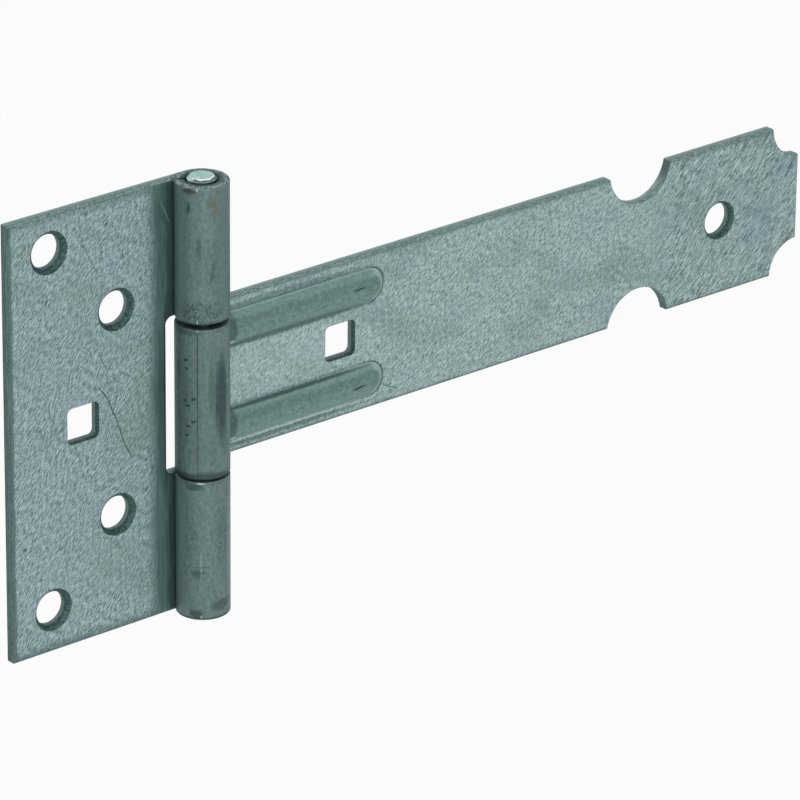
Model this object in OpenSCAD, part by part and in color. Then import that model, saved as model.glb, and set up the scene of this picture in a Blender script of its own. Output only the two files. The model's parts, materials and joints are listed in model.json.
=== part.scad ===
// Tee hinge of galvanised sheet steel: an upright plate leaf, a long strap leaf and the pin they turn on.
// The leaves' back faces lie in the plane y = 0, and the rolled knuckles stand out in front, towards -Y.
// The origin is on the plate's back face, midway between its two outer screw holes.

/* [Sheet and pin] */
// Thickness of the steel sheet that both leaves are cut from
sheet_t = 3; // [2.4:0.1:3.6]
// Diameter of the pin
pin_d = 7; // [6:0.1:8]
// Clearance all round the pin in the rolled knuckles
pin_play = 0.05; // [0.02:0.01:0.1]
// Length of the pin that shows above the top knuckle
pin_proud = 0.8; // [0.2:0.1:2]
// Chamfer on both ends of the pin
pin_chamfer = 0.7; // [0.3:0.1:1.2]

/* [Plate leaf] */
// Distance from the middle of the pin to the outer edge of the plate
plate_reach = 53; // [48:0.5:80]
// Height of the plate
plate_h = 110; // [100:0.5:160]
// How much lower the middle of the plate lies than the middle line of its holes
plate_drop = 0.8; // [0:0.1:2]
// Distance from the middle of the pin to the outer pair of screw holes
outer_hole_reach = 41.5; // [38:0.5:43]
// Distance that the outer pair of screw holes keeps from the ends of the plate, but for the drop
outer_hole_inset = 10; // [9:0.5:15]
// Distance from the middle of the pin to the inner pair of screw holes
inner_hole_reach = 22.3; // [18:0.1:28]
// Distance between the two inner screw holes
inner_hole_pitch = 52; // [40:0.5:60]
// Diameter of the round screw holes
screw_d = 8.4; // [5:0.1:9]
// Diameter of the countersunk mouth of the plate's round holes
plate_mouth_d = 10.6; // [9.2:0.1:12]
// Distance from the middle of the pin to the plate's square hole
plate_square_reach = 32.2; // [28:0.1:36]
// Width of the square bolt holes
square_w = 9; // [6:0.1:10]
// Radius of the corners of the square bolt holes
square_corner_r = 1.3; // [0.6:0.1:2]

/* [Middle knuckle and its slot in the plate] */
// Height of the middle knuckle, which is rolled from the strap
middle_knuckle_h = 38.3; // [32:0.1:58]
// Space in the slot beside the middle knuckle
slot_side_gap = 1.35; // [0.8:0.05:2]
// Radius of the corners of the slot
slot_corner_r = 1.8; // [0.5:0.1:2.5]
// Space between the middle knuckle and the bottom knuckle, which carries it
lower_gap = 0.5; // [0.3:0.05:1]
// Space between the middle knuckle and the top knuckle
upper_gap = 1.2; // [0.5:0.05:2]
// Seam between the free end of each roll and the face that it closes on
roll_seam = 0.15; // [0.05:0.05:0.5]

/* [Strap leaf] */
// Width of the strap
strap_w = 40; // [34:0.5:60]
// Overall length of the strap, from the outside of its knuckle to its tip
strap_len = 200; // [180:1:400]
// Distance from the outside of the knuckle to where the strap has its full width
shoulder_gap = 0.9; // [0.5:0.1:3]
// Height of the strap's middle above the middle line of the plate's holes
strap_rise = 0.2; // [-0.5:0.1:0.5]
// Distance from the middle of the pin to the strap's square hole
strap_square_reach = 44.7; // [30:0.1:50]
// Distance from the strap's tip to its round hole
tip_hole_inset = 26.5; // [22:0.5:30]
// Diameter of the countersunk mouth of the strap's round hole
tip_mouth_d = 10; // [9.2:0.1:12]

/* [Beads] */
// Width of each pressed bead at the face of the strap
bead_w = 8.6; // [7:0.1:9.5]
// Height of the beads above the face of the strap
bead_h = 1.8; // [1:0.1:2.2]
// Distance of each bead's middle from the middle of the strap
bead_offset = 12.2; // [11:0.1:13]
// Distance from the middle of the pin to the near end of the beads
bead_start = 7.4; // [7.2:0.1:14]
// Distance from the middle of the pin to the far end of the beads
bead_end = 57.5; // [40:0.5:80]

/* [Ornamental tip] */
// Distance from the strap's tip to the middle of the two side notches
notch_inset = 53.2; // [45:0.1:60]
// Radius of the side notches
notch_r = 10; // [8:0.1:11]
// Depth of the side notches
notch_depth = 8.5; // [5:0.1:9]
// Radius of the hollow corners of the tip
corner_r = 8.6; // [5:0.1:10]

/* [Hidden] */
$fn = 96;
overrun = 1;
bore_r = pin_d / 2 + pin_play;
roll_r = bore_r + sheet_t;
slot_reach = roll_r + slot_side_gap;
plate_top_z = plate_h / 2 - plate_drop;
plate_bottom_z = plate_top_z - plate_h;
outer_hole_pitch = plate_h - 2 * outer_hole_inset;
pin_len = plate_h + pin_proud;
slot_h = lower_gap + middle_knuckle_h + upper_gap;
middle_knuckle_z = -slot_h / 2 + lower_gap;
strap_reach = strap_len - roll_r;
shoulder_reach = roll_r + shoulder_gap;
// How far round the roll goes: its free end stops one seam short of the sheet's front face
roll_end_angle = 180 - asin((bore_r - roll_seam) / roll_r);
bead_r = (pow(bead_w / 2, 2) + pow(bead_h, 2)) / (2 * bead_h);
bead_axis_y = bead_r - bead_h - sheet_t;
zinc = [0.46, 0.52, 0.51];
pin_zinc = [0.68, 0.72, 0.72];

// The middle of the pin stands over x = 0 in here, and on its place in the part's frame outside
module at_pin() {
    translate([outer_hole_reach, 0, 0]) children();
}

// A flat shape drawn in X and Z, cut from the sheet behind the plane y = 0
module cut_sheet() {
    rotate([90, 0, 0]) linear_extrude(height = sheet_t) children();
}

// The rolled end of a leaf, seen from above: the sheet comes from the left and turns once round the pin
module roll_section() {
    translate([0, -roll_r]) difference() {
        circle(r = roll_r);
        circle(r = bore_r);
        polygon([
            [0, 0],
            [0, 2 * roll_r],
            [-2 * roll_r, 2 * roll_r],
            2 * roll_r * [cos(roll_end_angle), sin(roll_end_angle)]
        ]);
    }
}

module knuckle(z, h) {
    translate([0, 0, z]) linear_extrude(height = h) roll_section();
}

module round_hole(mouth_d) {
    sink = (mouth_d - screw_d) / 2;
    rotate([90, 0, 0]) {
        translate([0, 0, -overrun]) cylinder(h = sheet_t + 2 * overrun, d = screw_d);
        translate([0, 0, sheet_t - sink])
            cylinder(h = sink + overrun, d1 = screw_d, d2 = mouth_d + 2 * overrun);
    }
}

module rounded_rectangle(w, h, r) {
    square([w - 2 * r, h], center = true);
    square([w, h - 2 * r], center = true);
    for (x = [-1, 1], y = [-1, 1]) translate([x * (w / 2 - r), y * (h / 2 - r)]) circle(r = r);
}

module square_hole() {
    translate([0, overrun, 0]) rotate([90, 0, 0]) linear_extrude(height = sheet_t + 2 * overrun)
        rounded_rectangle(square_w, square_w, square_corner_r);
}

// The flat blank of the plate, up to where its rolls begin, with the slot open towards the pin
module plate_outline() {
    difference() {
        translate([-plate_reach, plate_bottom_z]) square([plate_reach, plate_h]);
        rounded_rectangle(2 * slot_reach, slot_h, slot_corner_r);
    }
}

module plate_leaf() color(zinc) at_pin() difference() {
    union() {
        cut_sheet() plate_outline();
        knuckle(slot_h / 2, plate_top_z - slot_h / 2);
        knuckle(plate_bottom_z, -slot_h / 2 - plate_bottom_z);
    }
    for (side = [-1, 1]) {
        translate([-outer_hole_reach, 0, side * outer_hole_pitch / 2]) round_hole(plate_mouth_d);
        translate([-inner_hole_reach, 0, side * inner_hole_pitch / 2]) round_hole(plate_mouth_d);
    }
    translate([-plate_square_reach, 0, 0]) square_hole();
}

// The flat blank of the strap: the neck that is rolled, the full width, the notches and the hollow corners
module strap_outline() {
    difference() {
        union() {
            translate([0, middle_knuckle_z]) square([shoulder_reach, middle_knuckle_h]);
            translate([shoulder_reach, strap_rise - strap_w / 2])
                square([strap_reach - shoulder_reach, strap_w]);
        }
        for (side = [-1, 1]) translate([strap_reach, strap_rise + side * strap_w / 2]) {
            circle(r = corner_r);
            translate([-notch_inset, side * (notch_r - notch_depth)]) circle(r = notch_r);
        }
    }
}

// A rod with round ends along the beads' length: its front skims the bead, its inner twin the groove behind
module bead_rod(r, start, end) {
    translate([start, 0, 0]) rotate([0, 90, 0]) cylinder(h = end - start, r = r);
    for (x = [start, end]) translate([x, 0, 0]) sphere(r = r);
}

module beads(r) {
    for (side = [-1, 1])
        translate([0, bead_axis_y, strap_rise + side * bead_offset])
            bead_rod(r, bead_start + bead_w / 2, bead_end - bead_w / 2);
}

module strap_leaf() color(zinc) at_pin() difference() {
    union() {
        cut_sheet() strap_outline();
        mirror([1, 0, 0]) knuckle(middle_knuckle_z, middle_knuckle_h);
        intersection() {
            beads(bead_r);
            translate([0, -sheet_t - 2 * bead_h, strap_rise - strap_w / 2])
                cube([strap_reach, sheet_t / 2 + 2 * bead_h, strap_w]);
        }
    }
    beads(bead_r - sheet_t);
    translate([strap_square_reach, 0, strap_rise]) square_hole();
    translate([strap_reach - tip_hole_inset, 0, strap_rise]) round_hole(tip_mouth_d);
}

module hinge_pin() color(pin_zinc) at_pin() translate([0, -roll_r, plate_bottom_z])
    rotate_extrude() polygon([
        [0, 0],
        [pin_d / 2 - pin_chamfer, 0],
        [pin_d / 2, pin_chamfer],
        [pin_d / 2, pin_len - pin_chamfer],
        [pin_d / 2 - pin_chamfer, pin_len],
        [0, pin_len]
    ]);

plate_leaf();
strap_leaf();
hinge_pin();
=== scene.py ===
import json
from math import asin, atan2, cos, degrees, hypot, pi, radians, sin, sqrt

import bmesh
import bpy
from mathutils import Matrix, Vector


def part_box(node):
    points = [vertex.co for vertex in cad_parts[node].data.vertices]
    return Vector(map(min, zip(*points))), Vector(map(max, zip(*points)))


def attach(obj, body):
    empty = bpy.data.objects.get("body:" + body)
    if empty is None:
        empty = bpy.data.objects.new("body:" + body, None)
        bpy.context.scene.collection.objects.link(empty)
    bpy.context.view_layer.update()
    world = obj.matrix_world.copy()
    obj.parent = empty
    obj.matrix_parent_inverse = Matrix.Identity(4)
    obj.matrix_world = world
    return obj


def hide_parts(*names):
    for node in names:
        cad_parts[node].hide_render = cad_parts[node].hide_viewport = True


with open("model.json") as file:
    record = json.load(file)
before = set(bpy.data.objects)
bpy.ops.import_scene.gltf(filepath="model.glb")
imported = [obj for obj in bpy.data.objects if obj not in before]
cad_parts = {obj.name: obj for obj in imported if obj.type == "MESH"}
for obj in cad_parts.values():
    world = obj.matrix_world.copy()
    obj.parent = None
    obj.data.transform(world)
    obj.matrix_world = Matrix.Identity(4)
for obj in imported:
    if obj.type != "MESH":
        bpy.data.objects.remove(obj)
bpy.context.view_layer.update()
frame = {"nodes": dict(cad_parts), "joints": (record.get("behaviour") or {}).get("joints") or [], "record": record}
mounts = {mount["name"]: mount for mount in frame["record"]["mounts"]}
pin_axis = Vector(frame["joints"][0]["pos_m"])

# The photograph's view: a long lens to the left of the hinge and above it, aimed between the barrel and
# the strap's notches, and turned a little on its own axis.
VIEW_AZIMUTH = radians(-40.09)
VIEW_ELEVATION = radians(23.70)
VIEW_ROLL = radians(0.56)
VIEW_DISTANCE = 1.5805
VIEW_LENS = 294.0
FILM_WIDTH = 36
VIEW_DEPTH = 10
AIM_FROM_PIN = Vector((0.06596, 0.00655, -0.02203))

turn = (
    Matrix.Rotation(VIEW_AZIMUTH, 4, "Z")
    @ Matrix.Rotation(pi / 2 - VIEW_ELEVATION, 4, "X")
    @ Matrix.Rotation(VIEW_ROLL, 4, "Z")
)
camera_data = bpy.data.cameras.new("camera")
camera_data.sensor_width = FILM_WIDTH
camera_data.lens = VIEW_LENS
camera_data.clip_end = VIEW_DEPTH
camera = bpy.data.objects.new("camera", camera_data)
step_back = turn.to_3x3() @ Vector((0, 0, VIEW_DISTANCE))
camera.matrix_world = Matrix.Translation(pin_axis + AIM_FROM_PIN + step_back) @ turn
bpy.context.scene.collection.objects.link(camera)
bpy.context.scene.camera = camera

# Plate leaf: one blank of 3 mm galvanised sheet, punched with four screw holes, a square bolt hole and the
# slot for the middle knuckle. What is left of its right edge is rolled round the pin into two knuckles.
SHEET = 0.003
# The die draws the sheet's outline over by about a millimetre, and every other edge by a share of that. The
# rounding is cut from a strip of faces that is a little wider.
ROLL_OVER = 0.0010
OUTLINE_SHARE, ROLL_END_SHARE, CRISP_SHARE = 1.0, 0.5, 0.3
ROUNDING_STEPS = 4
RIM = 0.00105
FLAT_WEIGHT = 80
CORNER_STEPS = 12
SQUARE_CORNER_STEPS = 8
CIRCLE_STEPS = 72
ROLL_STEPS = 90
ROLL_SEAM = 0.00015
SLOT_CORNER = 0.0018
SLOT_HALF = 0.020
SLOT_SIDE = 0.00135
SQUARE_CORNER = 0.0013
SQUARE_HALF = 0.0045
PLATE_MOUTH = 0.0053
# Corners closer than this are one corner, and an edge that turns by less than this isn't rounded
WELD = 0.000001
SHARP = radians(25)
# The places of the materials on a leaf, after the face of the sheet itself, which is at 0
ROLLED, CUT, PUNCHED, PRESSED = 1, 2, 3, 4

plate_low, plate_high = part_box("plate_leaf")
roll_radius = -pin_axis.y
bore_radius = roll_radius - SHEET
screw_radius = mounts["outer_screw_holes"]["dims"]["hole_r_mm"] / 1000


def start_at(bm, x, z):
    """Puts down the first corner of an outline, on the front face of the sheet."""
    return bm.verts.new((x, -SHEET, z))


def line_to(bm, corner, x, z):
    """Draws an outline's straight edge by pulling out its last corner."""
    last = bmesh.ops.extrude_vert_indiv(bm, verts=[corner])["verts"][0]
    last.co = (x, -SHEET, z)
    return last


def arc_round(bm, corner, x, z, turned, steps=CORNER_STEPS):
    """Draws an outline's round stretch by turning its last corner round the point x, z, in degrees."""
    spun = bmesh.ops.spin(
        bm, geom=[corner], cent=(x, -SHEET, z), axis=(0, -1, 0), angle=radians(turned), steps=steps
    )
    return [part for part in spun["geom_last"] if isinstance(part, bmesh.types.BMVert)][0]


def round_hole(bm, x, z, radius):
    """Draws a round hole's rim on the front face."""
    place = Matrix.Translation((x, -SHEET, z)) @ Matrix.Rotation(pi / 2, 4, "X")
    bmesh.ops.create_circle(bm, segments=CIRCLE_STEPS, radius=radius, matrix=place)


def square_hole(bm, x, z):
    """Draws a square bolt hole's rim, with its rounded corners, on the front face."""
    inner = SQUARE_HALF - SQUARE_CORNER
    corner = start_at(bm, x + SQUARE_HALF, z - inner)
    for side_x, side_z in ((1, 1), (-1, 1), (-1, -1), (1, -1)):
        if side_x == side_z:
            corner = line_to(bm, corner, x + side_x * SQUARE_HALF, z + side_z * inner)
        else:
            corner = line_to(bm, corner, x + side_x * inner, z + side_z * SQUARE_HALF)
        corner = arc_round(
            bm, corner, x + side_x * inner, z + side_z * inner, 90, SQUARE_CORNER_STEPS
        )


def fill_between(bm, edges):
    """Fills the front face between closed rows of edges."""
    bmesh.ops.triangle_fill(bm, use_beauty=True, use_dissolve=False, edges=edges, normal=(0, -1, 0))


def fill_outline(bm):
    """Lays a narrow strip of faces along every edge that was drawn, and fills the rest of the outline."""
    bmesh.ops.remove_doubles(bm, verts=bm.verts, dist=WELD)
    fill_between(bm, bm.edges)
    inset = bmesh.ops.inset_region(
        bm, faces=bm.faces, use_boundary=True, use_even_offset=True, thickness=RIM
    )
    strip = set(inset["faces"])
    inner_rims = [
        edge for edge in bm.edges
        if len(edge.link_faces) == 2 and len(strip.intersection(edge.link_faces)) == 1
    ]
    middle = [face for face in bm.faces if face not in strip]
    bmesh.ops.delete(bm, geom=middle, context="FACES")
    fill_between(bm, inner_rims)


def front_place(vert):
    """A corner's place as it is seen from the front."""
    return round(vert.co.x, 6), round(vert.co.z, 6)


def thicken(bm, outline):
    """Gives the filled outline the thickness of the sheet, and tells its sheared edges from its holes."""
    back = bmesh.ops.extrude_face_region(bm, geom=bm.faces[:])["geom"]
    moved = [part for part in back if isinstance(part, bmesh.types.BMVert)]
    bmesh.ops.translate(bm, verts=moved, vec=(0, SHEET, 0))
    bmesh.ops.recalc_face_normals(bm, faces=bm.faces)
    for face in bm.faces:
        if abs(face.normal.y) < 0.5:
            sheared = all(front_place(vert) in outline for vert in face.verts)
            face.material_index = CUT if sheared else PUNCHED


def sink_hole(bm, x, z, mouth, through):
    """Narrows a round hole behind its countersunk mouth, which is cut at 45 degrees."""
    def on_wall(vert):
        return abs(hypot(vert.co.x - x, vert.co.z - z) - mouth) < WELD

    walls = [face for face in bm.faces if all(on_wall(vert) for vert in face.verts)]
    edges = {edge for face in walls for edge in face.edges}
    verts = {vert for face in walls for vert in face.verts}
    depth = -SHEET + mouth - through
    bmesh.ops.bisect_plane(
        bm, geom=[*walls, *edges, *verts], plane_co=(0, depth, 0), plane_no=(0, 1, 0)
    )
    behind = [vert for vert in bm.verts if on_wall(vert) and vert.co.y > depth - WELD]
    share = through / mouth
    bmesh.ops.scale(bm, verts=behind, vec=(share, 1, share), space=Matrix.Translation((-x, 0, -z)))


def roll_up(bm, z_low, z_high, side):
    """Rolls the end of the sheet once round the pin, until it closes on the sheet's own front face."""
    ends = [
        face for face in bm.faces
        if all(abs(vert.co.x - pin_axis.x) < WELD for vert in face.verts)
        and all(z_low - WELD < vert.co.z < z_high + WELD for vert in face.verts)
    ]
    geom = {part for face in ends for part in (face, *face.edges, *face.verts)}
    before = set(bm.faces)
    turned = pi + pi / 2 + asin((bore_radius - ROLL_SEAM) / roll_radius)
    bmesh.ops.spin(
        bm, geom=list(geom), cent=pin_axis, axis=(0, 0, -side), angle=turned, steps=ROLL_STEPS
    )
    left = [face for face in ends if face.is_valid]
    bmesh.ops.delete(bm, geom=left, context="FACES_ONLY")
    for face in set(bm.faces) - before:
        face.normal_update()
        face.material_index = CUT if abs(face.normal.z) > 0.5 else ROLLED


def spots(bm):
    """Lists the places, seen from the front, of all the corners drawn so far."""
    return {front_place(vert) for vert in bm.verts}


def on_front_outline(edge, outline):
    """Tells whether an edge lies on the front face, along the outline."""
    return all(
        abs(vert.co.y + SHEET) < WELD and front_place(vert) in outline
        for vert in edge.verts
    )


def is_level(edge):
    """Tells whether an edge runs level."""
    return abs(edge.verts[0].co.z - edge.verts[1].co.z) < WELD


def round_pin(edge, radius):
    """Tells whether an edge goes round the pin at one height and at a given distance from its middle."""
    return is_level(edge) and all(
        abs(hypot(vert.co.x - pin_axis.x, vert.co.y - pin_axis.y) - radius) < WELD
        for vert in edge.verts
    )


def soften_edges(bm, outline, steep_share):
    """Sets how round each edge gets: most along the front's level edges, and less along the others."""
    weight = bm.edges.layers.float.new("bevel_weight_edge")
    for edge in bm.edges:
        if len(edge.link_faces) != 2 or edge.calc_face_angle() < SHARP:
            continue
        if on_front_outline(edge, outline):
            edge[weight] = OUTLINE_SHARE if is_level(edge) else steep_share
        elif round_pin(edge, bore_radius):
            edge[weight] = OUTLINE_SHARE
        elif round_pin(edge, roll_radius):
            edge[weight] = ROLL_END_SHARE
        else:
            edge[weight] = CRISP_SHARE


def finished_piece(bm, name, node, body, materials):
    """Turns the modelled piece into an object that stands for its node and moves with its body."""
    mesh = bpy.data.meshes.new(name)
    for face in bm.faces:
        face.smooth = True
    bm.to_mesh(mesh)
    bm.free()
    for material in materials:
        mesh.materials.append(material)
    piece = bpy.data.objects.new(name, mesh)
    bpy.context.scene.collection.objects.link(piece)
    rounding = piece.modifiers.new("rounding", "BEVEL")
    rounding.limit_method = "WEIGHT"
    rounding.width = ROLL_OVER
    rounding.segments = ROUNDING_STEPS
    rounding.use_clamp_overlap = False
    rounding.loop_slide = False
    flat_faces = piece.modifiers.new("flat_faces", "WEIGHTED_NORMAL")
    flat_faces.weight = FLAT_WEIGHT
    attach(piece, body)
    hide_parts(node)
    return piece


def colour(hex_value):
    """An sRGB hex colour as the linear values that a shader takes."""
    channels = [int(hex_value[place:place + 2], 16) / 255 for place in (1, 3, 5)]
    return (*(c / 12.92 if c <= 0.04045 else ((c + 0.055) / 1.055) ** 2.4 for c in channels), 1)


def add_node(tree, kind, sockets=None, output=0, **settings):
    """Adds a shader node with its settings, sets or links its sockets, and gives one output, or all."""
    node = tree.nodes.new(kind)
    for name, value in settings.items():
        setattr(node, name, value)
    for key, value in (sockets or {}).items():
        if isinstance(value, bpy.types.NodeSocket):
            tree.links.new(value, node.inputs[key])
        else:
            node.inputs[key].default_value = value
    return node.outputs if output is None else node.outputs[output]


def zone(tree, value, start, end, within=1):
    """Where a stretch of the surface begins: 0 up to one value, then smoothly up to 1 at another. It shows
    only where a second share lets it."""
    reached = add_node(
        tree, "ShaderNodeMapRange", {"Value": value, "From Min": start, "From Max": end},
        interpolation_type="SMOOTHSTEP",
    )
    return add_node(tree, "ShaderNodeMath", {0: reached, 1: within}, operation="MULTIPLY")


def strokes(tree, place, along, across, slant, low, high, detail=1.5, waver=0.0):
    """Strokes of a real length and width that slant up from X by an angle: 0 between them, 1 on them."""
    drawn_out = add_node(
        tree, "ShaderNodeMapping",
        {"Vector": place, "Rotation": (0, -radians(slant), 0), "Scale": (along, across, across)},
        vector_type="TEXTURE",
    )
    noise = add_node(
        tree, "ShaderNodeTexNoise",
        {"Vector": drawn_out, "Scale": 1, "Detail": detail, "Distortion": waver},
    )
    return zone(tree, noise, low, high)


def ragged(tree, place, size, reach):
    """Shifts places about a little, so that what is drawn with them gets a ragged rim."""
    noise = add_node(tree, "ShaderNodeTexNoise", {"Vector": place, "Scale": 1 / size, "Detail": 2}, "Color")
    shift = add_node(tree, "ShaderNodeVectorMath", {0: noise, 1: (0.5,) * 3}, operation="SUBTRACT")
    return add_node(
        tree, "ShaderNodeVectorMath", {0: shift, 1: (2 * reach,) * 3, 2: place}, operation="MULTIPLY_ADD"
    )


def spot(tree, place, centre, half, slant=0, within=1):
    """An oval mark that slants up from X by an angle: 1 in its middle and 0 round it. It shows only where
    a second share lets it."""
    inside = add_node(
        tree, "ShaderNodeMapping",
        {"Vector": place, "Location": centre, "Rotation": (0, -radians(slant), 0), "Scale": half},
        vector_type="TEXTURE",
    )
    away = add_node(tree, "ShaderNodeVectorMath", {0: inside}, "Value", operation="LENGTH")
    return zone(tree, away, 1, 0.4, within)


def stain(tree, look, where, tone, strength):
    """Lays a tone over the look, as strongly as told where the mark is full."""
    share = add_node(tree, "ShaderNodeMath", {0: where, 1: strength}, operation="MULTIPLY")
    return add_node(tree, "ShaderNodeMix", {0: share, 6: look, 7: colour(tone)}, 2, data_type="RGBA")


def marked(tree, look, place, marks):
    """Lays a list of oval marks over the look: each one's middle, half size, slant, tone and strength."""
    for (x, y, z), (half_x, half_y, half_z), slant, tone, strength in marks:
        where = spot(tree, place, (x, y, z), (half_x, half_y, half_z), slant)
        look = stain(tree, look, where, tone, strength)
    return look


def unrolled(tree, place):
    """The rolled sheet laid out flat: X runs round the pin from the front, and Z runs along it."""
    x, y, height = add_node(tree, "ShaderNodeSeparateXYZ", {0: place}, None)
    rightwards = add_node(tree, "ShaderNodeMath", {0: x, 1: pin_axis.x}, operation="SUBTRACT")
    forwards = add_node(tree, "ShaderNodeMath", {0: pin_axis.y, 1: y}, operation="SUBTRACT")
    angle = add_node(tree, "ShaderNodeMath", {0: rightwards, 1: forwards}, operation="ARCTAN2")
    arc = add_node(tree, "ShaderNodeMath", {0: angle, 1: roll_radius}, operation="MULTIPLY")
    return add_node(tree, "ShaderNodeCombineXYZ", {"X": arc, "Z": height})


# Zinc that has dulled in the air: partly metallic, with a weak greenish shine
METALLIC = 0.4
DULL_SHINE = 0.25
SHINE_TINT = "#8FB5B1"


def start_metal(name, metallic, roughness):
    """Starts a metal's material, and gives its nodes and the places and facings on the piece."""
    material = bpy.data.materials.new(name)
    material.use_nodes = True
    tree = material.node_tree
    shader = tree.nodes["Principled BSDF"]
    shader.inputs["Metallic"].default_value = metallic
    shader.inputs["Roughness"].default_value = roughness
    shader.inputs["Specular IOR Level"].default_value = DULL_SHINE
    shader.inputs["Specular Tint"].default_value = colour(SHINE_TINT)
    return material, tree, add_node(tree, "ShaderNodeTexCoord", output=None)


def finish_metal(material, look, relief, depth):
    """Gives the material its colour and a relief of a real depth."""
    tree = material.node_tree
    shader = tree.nodes["Principled BSDF"]
    tree.links.new(look, shader.inputs["Base Color"])
    bump = add_node(tree, "ShaderNodeBump", {"Height": relief, "Distance": depth, "Strength": 1}, "Normal")
    tree.links.new(bump, shader.inputs["Normal"])
    return material


# Galvanised sheet, as it comes from the mill: dull greenish zinc with short, crossing brushed strokes a few
# tenths of a millimetre wide, a few bright and dark ones among them, and large bluish and greenish patches.
def galvanising(tree, place, facing, slant, length, dark, light):
    """The look and the relief of the sheet's faces, for strokes of a slant and length, in two tones."""
    grain = strokes(tree, place, length, 0.00027, slant, 0.38, 0.62, 1, 0.4)
    cross = strokes(tree, place, 0.0006, 0.00028, slant - 75, 0.38, 0.62, 1, 0.5)
    relief = add_node(tree, "ShaderNodeMix", {0: 0.35, 2: grain, 3: cross}, data_type="FLOAT")
    look = add_node(
        tree, "ShaderNodeMix", {0: relief, 6: colour(dark), 7: colour(light)}, 2, data_type="RGBA"
    )
    look = stain(tree, look, strokes(tree, place, 0.010, 0.006, 35, 0.48, 0.68, 3), "#8CA0AE", 0.24)
    look = stain(tree, look, strokes(tree, place, 0.017, 0.010, -20, 0.50, 0.70, 3), "#6D8A7F", 0.36)
    look = stain(tree, look, strokes(tree, place, 0.0012, 0.0003, slant, 0.58, 0.68, 0), "#C9DDDB", 0.40)
    look = stain(tree, look, strokes(tree, place, 0.0012, 0.0003, slant, 0.42, 0.32, 0), "#4A6465", 0.40)
    # Painted shade: the rounded-over edges, where the face turns from facing forwards or backwards, are darker.
    forwards = add_node(tree, "ShaderNodeSeparateXYZ", {0: facing}, "Y")
    flatness = add_node(tree, "ShaderNodeMath", {0: forwards}, operation="ABSOLUTE")
    return stain(tree, look, zone(tree, flatness, 0.98, 0.80), "#7A9492", 0.8), relief


def on_front(tree, place):
    """1 on the front face of the sheet and 0 on its back."""
    depth = add_node(tree, "ShaderNodeSeparateXYZ", {0: place}, "Y")
    return zone(tree, depth, -SHEET / 2, -SHEET * 0.9)


# How far from the pin's middle the plate is rubbed smooth by the rolling tool and painted with the barrel's
# shade, and how gradually
SHADED_BAND_REACH = 0.0121
SHADED_BAND_FADE = 0.0023
# How strong each scratch on the plate is, and the points that it runs through, seen from the front
SCRATCHES = (
    (0.45, ((0.0086, 0.0453), (0.0100, 0.0437), (0.0117, 0.0406), (0.0139, 0.0360))),
    (0.60, ((0.0137, 0.0165), (0.0163, 0.0117), (0.0165, 0.0073))),
    (0.85, ((0.0136, 0.0081), (0.0165, 0.0040), (0.0190, -0.0019), (0.0214, -0.0088), (0.0231, -0.0126))),
    (0.45, ((0.0084, 0.0188), (0.0109, 0.0170))),
    (0.50, ((0.0177, 0.0097), (0.0200, 0.0073))),
    (0.50, ((0.0206, 0.0099), (0.0241, 0.0072))),
    (0.55, ((0.0202, -0.0474), (0.0208, -0.0502))),
)
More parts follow.
